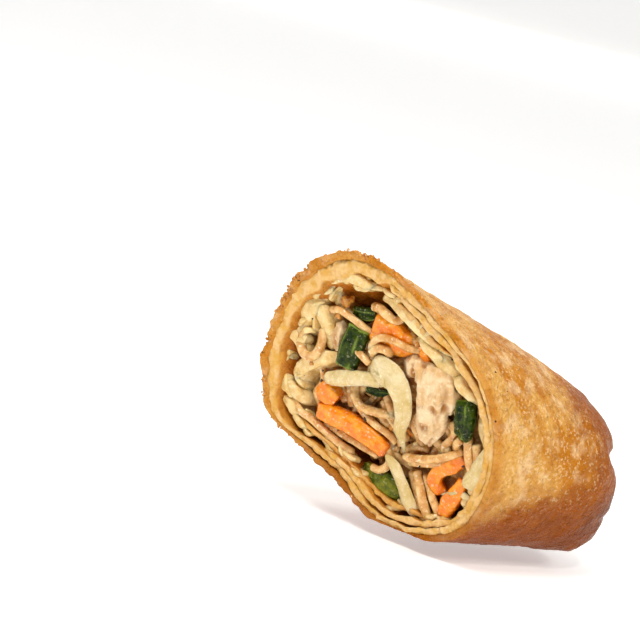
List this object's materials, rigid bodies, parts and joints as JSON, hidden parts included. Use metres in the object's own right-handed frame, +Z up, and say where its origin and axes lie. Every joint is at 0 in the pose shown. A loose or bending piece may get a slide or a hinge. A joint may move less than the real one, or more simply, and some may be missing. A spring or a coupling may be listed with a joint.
{
  "type": "fried spring roll piece",
  "caption": "Half of a fried spring roll, cut on the slant to show noodles, vegetables and chicken inside crisp golden pastry.",
  "frame": {"origin": "middle of the footprint, on the surface it lies on", "axes": "+Z up, the roll's length along X with the cut mouth towards -X and the folded end at +X"},
  "size_m": [0.0512, 0.0388, 0.0404],
  "materials": {
    "pastry": "crisp fried pastry, golden, fine blisters",
    "noodles": "moist glass noodles and shredded cabbage",
    "chicken": "cooked chicken, matt",
    "carrot": "cooked carrot, moist",
    "scallion": "dark green scallion, glossy",
    "light_scallion": "light green scallion, moist",
    "cabbage": "pale cooked cabbage, moist"
  },
  "bodies": {
    "root": {"wrapper": "pastry", "filling": "noodles", "chicken_large": "chicken", "chicken_small": "chicken", "carrot_top": "carrot", "carrot_sliver": "carrot", "carrot_long": "carrot", "carrot_knob": "carrot", "carrot_curl": "carrot", "carrot_short": "carrot", "scallion_top": "scallion", "scallion_back": "scallion", "scallion_dark": "scallion", "scallion_right": "scallion", "scallion_middle": "scallion", "scallion_low": "light_scallion", "cabbage_left": "cabbage", "cabbage_curl": "cabbage", "cabbage_right": "cabbage", "cabbage_low": "cabbage"}
  },
  "joints": []
}
